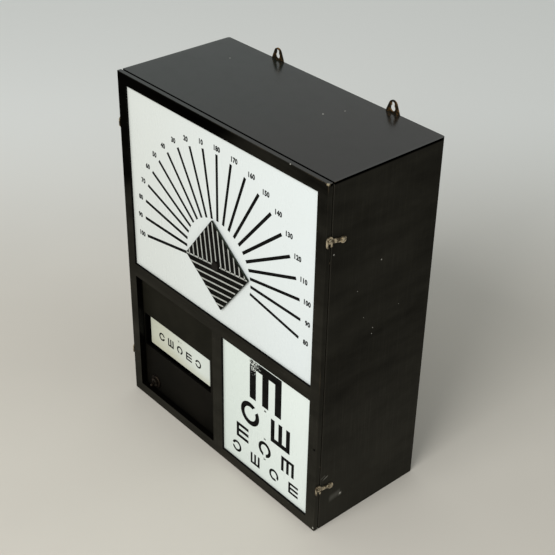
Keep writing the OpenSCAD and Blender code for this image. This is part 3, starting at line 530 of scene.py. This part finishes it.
# painted shade: each pane's left colour is darker than its right
fan_opal = opal_glass("fan_opal", FAN_OPENING, rgb(0.656, 0.688, 0.670), rgb(0.722, 0.776, 0.790))
chart_opal = opal_glass("chart_opal", CHART_OPENING, rgb(0.690, 0.760, 0.724), rgb(0.764, 0.830, 0.806))
ivory = ivory_plate()
brass = aged_metal("aged_brass", rgb(0.62, 0.54, 0.40), rgb(0.080, 0.060, 0.036), rough=0.30, spread=0.25)
dark_brass = aged_metal(
    "dark_brass", rgb(0.052, 0.039, 0.027), rgb(0.013, 0.010, 0.008), rough=0.38, spread=0.22, share=0.46
)
hanger_brass = aged_metal(
    "hanger_brass", rgb(0.42, 0.22, 0.075), rgb(0.034, 0.027, 0.017), rough=0.34, spread=0.22, share=0.43
)
steel = aged_metal("turned_steel", rgb(0.52, 0.52, 0.51), rgb(0.36, 0.355, 0.34), rough=0.30, spread=0.15)
moulding = moulded_brown()
lead = braided_lead()
pearl = pearl_glass()
dowel = bare_dowel()
ink = print_ink()
grey_lines = line_paint()

BY_SLOT = {
    "black_paint": flat_black,
    "white_paint": inner_white,
    "opal_glass": fan_opal,
    "ivory_plate": ivory,
    "brass": brass,
    "steel": steel,
    "bakelite": moulding,
    "lead": lead,
    "bulb_glass": pearl,
    "dowel_wood": dowel,
}
BY_NODE = {
    "top_board": box_across,
    "bottom_board": box_across,
    "side_left": box_upright,
    "side_right": box_upright,
    "back_panel": box_upright,
    "stile_left": frame_upright,
    "stile_right": frame_upright,
    "mullion": frame_upright,
    "top_rail": frame_across,
    "mid_rail": frame_across,
    "bottom_rail": frame_across,
    "block_plate": enamel,
    "chart_pane": chart_opal,
    "hanger_eye_left": hanger_brass,
    "hanger_eye_right": hanger_brass,
    "switch_rose": dark_brass,
    "switch_nut": dark_brass,
    "switch_lever": dark_brass,
}
for name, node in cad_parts.items():
    for holder in node.material_slots:
        slot_name = holder.material.name.split(".")[0]
        holder.material = BY_NODE.get(name) or BY_SLOT[slot_name]


# Modelling helpers
def only(*pieces):
    """Selects these pieces alone, the first of them active."""
    bpy.ops.object.select_all(action="DESELECT")
    for piece in pieces:
        piece.select_set(True)
    bpy.context.view_layer.objects.active = pieces[0]


def editing(piece):
    only(piece)
    bpy.ops.object.mode_set(mode="EDIT")
    bpy.ops.mesh.select_mode(type="FACE")
    bpy.ops.mesh.select_all(action="SELECT")


def edited():
    bpy.ops.object.mode_set(mode="OBJECT")
    return bpy.context.object


def pick(piece, test):
    """In edit mode, selects the faces whose centre and normal pass a test."""
    mesh = bmesh.from_edit_mesh(piece.data)
    for face in mesh.faces:
        face.select_set(False)
    for face in mesh.faces:
        if test(face.calc_center_median(), face.normal):
            face.select_set(True)
    bmesh.update_edit_mesh(piece.data)


def thicken():
    """In edit mode, gives a flat figure the thickness of print."""
    bpy.ops.mesh.select_all(action="SELECT")
    bpy.ops.mesh.extrude_region_move(TRANSFORM_OT_translate={"value": (0, 0, PROUD + SUNK)})
    bpy.ops.mesh.select_all(action="SELECT")
    bpy.ops.mesh.normals_make_consistent(inside=False)


def twin(piece, place, turn=(0, 0, 0), scale=(1, 1, 1)):
    """A copy with its own mesh, at a place, turn and scale."""
    only(piece)
    bpy.ops.object.duplicate(linked=False)
    made = bpy.context.object
    made.location, made.rotation_euler, made.scale = place, turn, scale
    return made


def one_piece(name, parts):
    """Joins parts to one piece whose place is in its mesh."""
    only(*parts)
    bpy.ops.object.transform_apply(location=True, rotation=True, scale=True)
    if len(parts) > 1:
        bpy.ops.object.join()
    piece = bpy.context.object
    piece.name = piece.data.name = name
    return piece


def fit(piece, body, material):
    """Gives a finished piece its material and slot, and hangs it on its body."""
    piece.data.materials.clear()
    piece.data.materials.append(material)
    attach(piece, body)
    return piece


def discard(*pieces):
    only(*pieces)
    bpy.ops.object.delete()


def bar(length, width, start):
    """A flat printed bar along +X from start, with its corners eased."""
    bpy.ops.object.select_all(action="DESELECT")
    bpy.ops.mesh.primitive_plane_add(size=1, location=(0, 0, 0))
    piece = bpy.context.object
    editing(piece)
    bpy.ops.transform.resize(value=(length, width, 1))
    bpy.ops.transform.translate(value=(start + length / 2, 0, 0))
    bpy.ops.mesh.bevel(offset=0.35 * MM, segments=2, affect="VERTICES")
    thicken()
    return edited()


# Height of a figure as a share of its text size
FIGURE_SHARE = 0.69


def number(text, height, narrow=1.0):
    """A flat printed number, centred at the origin."""
    bpy.ops.object.select_all(action="DESELECT")
    bpy.ops.object.text_add(location=(0, 0, 0))
    words = bpy.context.object.data
    words.body = text
    words.size = height / FIGURE_SHARE
    words.align_x, words.align_y = "CENTER", "CENTER"
    words.offset = 0.075 * height
    words.space_character = 1.08
    words.resolution_u = 4
    words.extrude = (PROUD + SUNK) / 2
    bpy.ops.object.convert(target="MESH")
    piece = bpy.context.object
    editing(piece)
    bpy.ops.mesh.remove_doubles(threshold=0.01 * MM)
    bpy.ops.mesh.normals_make_consistent(inside=False)
    bpy.ops.transform.translate(value=(0, 0, (PROUD + SUNK) / 2))
    bpy.ops.transform.resize(value=(narrow, 1, 1))
    return edited()


def three_bar_figure():
    """Test figure of three bars on a stem, on a grid of five by five, open to +X, one metre high."""
    bpy.ops.object.select_all(action="DESELECT")
    bpy.ops.mesh.primitive_grid_add(x_subdivisions=5, y_subdivisions=5, size=1)
    piece = bpy.context.object
    editing(piece)
    pick(piece, lambda c, n: c.x > -0.3 and 0.1 < abs(c.y) < 0.3)
    bpy.ops.mesh.delete(type="FACE")
    thicken()
    return edited()


def gap_ring_figure():
    """Test ring with a gap a fifth of its height, open to +X, one metre high."""
    bpy.ops.object.select_all(action="DESELECT")
    bpy.ops.mesh.primitive_circle_add(vertices=64, radius=0.5, fill_type="NGON")
    piece = bpy.context.object
    editing(piece)
    bpy.ops.mesh.inset(thickness=0.2)
    bpy.ops.mesh.delete(type="FACE")
    for level in (-0.1, 0.1):
        bpy.ops.mesh.select_all(action="SELECT")
        bpy.ops.mesh.bisect(plane_co=(0, level, 0), plane_no=(0, 1, 0))
    pick(piece, lambda c, n: c.x > 0 and abs(c.y) < 0.1)
    bpy.ops.mesh.delete(type="FACE")
    thicken()
    return edited()


def on_front(x, z, face, angle=0.0, side=1.0):
    """Place, turn and scale that stand a flat figure on a face towards the front."""
    return (x, face + SUNK, z), (STANDING, -angle, 0), (side, side, 1)


def slotted_screw(head, height, shank, length):
    """A domed screw along +Z with a slot in its head, its head's seat at z 0."""
    bpy.ops.object.select_all(action="DESELECT")
    radius = head / 2
    wall = 0.45
    bpy.ops.mesh.primitive_cylinder_add(
        vertices=40, radius=radius, depth=height * wall, location=(0, 0, height * wall / 2)
    )
    piece = bpy.context.object
    bpy.ops.object.transform_apply(location=True, rotation=False, scale=False)
    editing(piece)
    pick(piece, lambda c, n: n.z > 0.9)
    was, level = radius, height * wall
    for share in (0.92, 0.76, 0.55, 0.30):
        now = radius * share
        rise = height * (wall + (1 - wall) * (1 - share * share)) - level
        bpy.ops.mesh.inset(thickness=was - now)
        bpy.ops.transform.translate(value=(0, 0, rise))
        was, level = now, level + rise
    slot = head * 0.055
    for edge in (slot, -slot):
        pick(piece, lambda c, n: c.z > height * 0.3)
        bpy.ops.mesh.bisect(plane_co=(edge, 0, 0), plane_no=(1, 0, 0))
    pick(piece, lambda c, n: n.z > 0.3 and abs(c.x) < slot and c.xy.length < radius * 0.9)
    bpy.ops.mesh.extrude_region_move(TRANSFORM_OT_translate={"value": (0, 0, -height * 0.4)})
    pick(piece, lambda c, n: n.z < -0.9)
    bpy.ops.mesh.inset(thickness=radius - shank / 2)
    bpy.ops.mesh.extrude_region_move(TRANSFORM_OT_translate={"value": (0, 0, -length)})
    bpy.ops.mesh.select_all(action="SELECT")
    bpy.ops.mesh.normals_make_consistent(inside=False)
    piece = edited()
    bpy.ops.object.shade_smooth_by_angle(angle=radians(35))
    return piece


def driven(screw, place, turn, spin):
    """A copy of a screw in its place, with its slot spun about its axis."""
    made = twin(screw, place, turn)
    made.rotation_euler.rotate_axis("Z", spin)
    return made


# Fan of rays from the lower left round to the lower right, each with its number beyond its end
RAY_COUNT = 21
RAY_STEP = 10
FIRST_RAY = 190
FIRST_NUMBER = 100
HALF_TURN = 180
RAY_END = 218.3 * MM
RAY_LENGTH = 129 * MM
RAY_W = 6.2 * MM
RAY_NUMBER_H = 9 * MM
RAY_NUMBER_NARROW = 0.88
NUMBER_RISE = 10.5 * MM
NUMBER_RIGHT = 17.5 * MM
NUMBER_LEFT = 16 * MM
LEFT_LESS = 4 * MM

ray = bar(RAY_LENGTH, RAY_W, RAY_END - RAY_LENGTH)
rays, numbers = [], []
for step in range(RAY_COUNT):
    angle = radians(FIRST_RAY - RAY_STEP * step)
    across, up = cos(angle), sin(angle)
    rays.append(twin(ray, *on_front(FAN_X, FAN_Z, PANE_FACE, angle)))
    degrees = (FIRST_NUMBER - RAY_STEP * step) % HALF_TURN or HALF_TURN
    label = number(str(degrees), RAY_NUMBER_H, RAY_NUMBER_NARROW)
    lean = max(-1, min(1, 2.6 * across))
    beyond = NUMBER_RIGHT if across > 0 else NUMBER_LEFT - LEFT_LESS * up
    x = FAN_X + RAY_END * across + lean * beyond
    z = FAN_Z + (RAY_END + NUMBER_RISE) * up
    numbers.append(twin(label, *on_front(x, z, PANE_FACE)))
    discard(label)
discard(ray)
fit(one_piece("fan_rays", rays), "front", ink)
fit(one_piece("fan_numbers", numbers), "front", ink)

# Rows of test figures on the chart pane, in millimetres: height above the base, figure size, pitch,
# and kinds with their turns. Below them, the height and text of each row's number.
bars = three_bar_figure()
ring = gap_ring_figure()
CHART_X = 134.25 * MM
CHART_NUMBER_H = 3.6 * MM
CHART_ROWS = (
    (239.6, 87.3, 0.0, ((bars, 270),)),
    (156.7, 52.4, 85.0, ((ring, 45), (bars, 90))),
    (98.1, 34.9, 64.1, ((bars, 0), (ring, 270), (bars, 270))),
    (53.9, 26.2, 53.9, ((ring, 180), (bars, 90), (ring, 315), (bars, 0))),
)
CHART_NUMBERS = ((188.5, "60"), (123.0, "36"), (74.5, "24"))
figures = []
for level, side, pitch, row in CHART_ROWS:
    for i, (figure, turn) in enumerate(row):
        x = CHART_X + (i - (len(row) - 1) / 2) * pitch * MM
        figures.append(twin(figure, *on_front(x, level * MM, PANE_FACE, radians(turn), side * MM)))
for level, text in CHART_NUMBERS:
    mark = number(text, CHART_NUMBER_H)
    figures.append(twin(mark, *on_front(CHART_X, level * MM, PANE_FACE)))
    discard(mark)
fit(one_piece("chart_figures", figures), "front", ink)

# One row of small figures on each of the drum's six faces
DRUM_FIGURE = 18.5 * MM
DRUM_PITCH = 29.7 * MM
DRUM_NUMBER_H = 3.2 * MM
DRUM_NUMBER_UP = 20 * MM
DRUM_ROWS = (
    ((ring, 0), (bars, 90), (ring, 270), (bars, 0), (ring, 180)),
    ((bars, 180), (ring, 90), (bars, 270), (bars, 0), (ring, 45)),
    ((ring, 315), (bars, 0), (bars, 90), (ring, 180), (bars, 270)),
    ((bars, 90), (bars, 180), (ring, 0), (bars, 270), (ring, 135)),
    ((ring, 225), (ring, 90), (bars, 0), (bars, 180), (bars, 90)),
    ((bars, 270), (ring, 0), (bars, 180), (ring, 270), (bars, 90)),
)
strips = []
for face, row in enumerate(DRUM_ROWS):
    parts = []
    for i, (figure, turn) in enumerate(row):
        x = DRUM_AXIS[0] + (i - (len(row) - 1) / 2) * DRUM_PITCH
        parts.append(twin(figure, *on_front(x, DRUM_AXIS[2], DRUM_FACE, radians(turn), DRUM_FIGURE)))
    mark = number(f"12   {face + 1}", DRUM_NUMBER_H)
    parts.append(twin(mark, *on_front(DRUM_AXIS[0], DRUM_AXIS[2] + DRUM_NUMBER_UP, DRUM_FACE)))
    discard(mark)
    strip = one_piece("drum_row", parts)
    editing(strip)
    face_turn = radians(360 / len(DRUM_ROWS) * face)
    bpy.ops.transform.rotate(value=face_turn, orient_axis="X", center_override=DRUM_AXIS)
    strips.append(edited())
discard(bars, ring)
fit(one_piece("drum_figures", strips), "letter_drum", ink)

# Lines of the block figure: upright above the diagonal, level below it
BLOCK_TURN = 7.5
HALF_DIAGONAL = 88.39 * MM
INSET = 1.0 * MM
LINE_PITCH = 13.1 * MM
LINE_W = 2.9 * MM
LINE_LENGTH = 190 * MM
LINES_ASIDE = 6
UPRIGHT_OFF = 1.8 * MM
MAIN_LINE = 0.7 * MM
KNOB_ROOM = 10.5 * MM
line = bar(LINE_LENGTH, LINE_W, 0)
lines = []
for i in range(-LINES_ASIDE, LINES_ASIDE + 1):
    u = UPRIGHT_OFF + i * LINE_PITCH
    foot = sqrt(KNOB_ROOM**2 - u**2) if abs(u) < KNOB_ROOM else MAIN_LINE - LINE_W / 4
    lines.append(twin(line, (u, foot, 0), (0, 0, pi / 2)))
for j in range(1, LINES_ASIDE + 1):
    lines.append(twin(line, (-LINE_LENGTH / 2, MAIN_LINE - j * LINE_PITCH, 0)))
lines.append(twin(line, (KNOB_ROOM, MAIN_LINE, 0)))
lines.append(twin(line, (-KNOB_ROOM, MAIN_LINE, 0), (0, 0, pi)))
discard(line)
block_lines = one_piece("block_lines", lines)
editing(block_lines)
reach = (HALF_DIAGONAL - INSET) / 2
for sx, sy in ((1, 1), (1, -1), (-1, 1), (-1, -1)):
    bpy.ops.mesh.select_all(action="SELECT")
    bpy.ops.mesh.bisect(
        plane_co=(sx * reach, sy * reach, 0), plane_no=(sx, sy, 0), use_fill=True, clear_outer=True
    )
bpy.ops.mesh.select_all(action="SELECT")
bpy.ops.mesh.normals_make_consistent(inside=False)
edited()
place, turn, _ = on_front(FAN_X, FAN_Z, PLATE_FACE, radians(BLOCK_TURN))
block_lines.location, block_lines.rotation_euler = place, turn
fit(one_piece("block_lines", [block_lines]), "block", grey_lines)

# Slotted screws: the hooks' pivots, and those that hold the back panel and the hanger plates
TO_BACK = (-pi / 2, 0, 0)
pivot = slotted_screw(head=9.5 * MM, height=2.6 * MM, shank=4.5 * MM, length=16 * MM)
pivots = []
for side in (-1, 1):
    for level, spin in HOOK_PIVOTS:
        pivots.append(driven(pivot, (side * HOOK_SEAT, HOOK_PIVOT_Y, level), (0, side * pi / 2, 0), spin))
discard(pivot)
hook_pivots = fit(one_piece("hook_pivots", pivots), "cabinet", brass)
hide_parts("hook_screws")

# Places of the back panel's screws, as x and z in millimetres
BACK_SCREWS = (
    (-258, 22),
    (0, 18),
    (258, 22),
    (-262, 250),
    (262, 250),
    (-262, 470),
    (262, 470),
    (-258, 693),
    (0, 697),
    (258, 693),
)
fixing = slotted_screw(head=7.5 * MM, height=2.2 * MM, shank=3.5 * MM, length=8 * MM)
fixings = []
for x, level in BACK_SCREWS:
    fixings.append(driven(fixing, (x * MM, BACK_FACE, level * MM), TO_BACK, 0.7 * level + x))
discard(fixing)
fit(one_piece("back_fixings", fixings), "cabinet", steel)

small = slotted_screw(head=5.6 * MM, height=0.36 * MM, shank=2.5 * MM, length=7 * MM)
aside, level = HANGER_SCREWS
hanger_screws = []
for middle in HANGERS:
    for side in (-1, 1):
        seat = (middle + side * aside, HANGER_FACE, level)
        hanger_screws.append(driven(small, seat, TO_BACK, 40 * middle + side))
discard(small)
fit(one_piece("hanger_screws", hanger_screws), "cabinet", hanger_brass)

# Floor and light
FLOOR_W = 14
FLOOR_DROP = 0.4 * MM
bpy.ops.object.select_all(action="DESELECT")
bpy.ops.mesh.primitive_plane_add(size=FLOOR_W, location=(0, 0, -FLOOR_DROP))
floor = bpy.context.object
floor.name = "studio_floor"
floor.data.materials.append(studio_floor())

# Sky at a plain level, paler where the camera, glass or metal sees it
world = bpy.data.worlds.new("studio")
bpy.context.scene.world = world
world.use_nodes = True
world.node_tree.nodes.clear()
sky = Wire(world.node_tree)
path = sky.node("ShaderNodeLightPath", out="Is Camera Ray")
seen = path.most(path.out("Is Transmission Ray")) * 0.40 + path.out("Is Glossy Ray") * 0.10
light = sky.node("ShaderNodeBackground", None, {"Color": rgb(0.965, 0.995, 0.975), "Strength": 0.50 + seen})
sky.node("ShaderNodeOutputWorld", None, {"Surface": light})


def soft_lamp(name, place, aim, size, power, colour):
    """A square soft lamp at a place, turned to a point."""
    bpy.ops.object.light_add(type="AREA", location=place)
    lamp = bpy.context.object
    lamp.name = name
    lamp.data.shape, lamp.data.size = "SQUARE", size
    lamp.data.energy, lamp.data.color = power, colour
    lamp.rotation_euler = (Vector(aim) - Vector(place)).to_track_quat("-Z", "Y").to_euler()


soft_lamp(
    "key_lamp", place=(0.7, -3.2, 3.0), aim=(0, 0, 0.35), size=2.5, power=135, colour=(1.0, 0.99, 0.97)
)

# Camera at the photograph's viewing angle: its place in metres, its turn in degrees, and its lens
CAMERA_PLACE = (1.39399, -1.21484, 1.55208)
CAMERA_TURN = (57.1758, -0.8971, 49.0909)
CAMERA_LENS = 76.615
bpy.ops.object.camera_add(location=CAMERA_PLACE)
camera = bpy.context.object
camera.rotation_euler = [radians(turn) for turn in CAMERA_TURN]
camera.data.sensor_width = 36
camera.data.lens = CAMERA_LENS
bpy.context.scene.camera = camera
bpy.context.scene.view_settings.view_transform = "Standard"
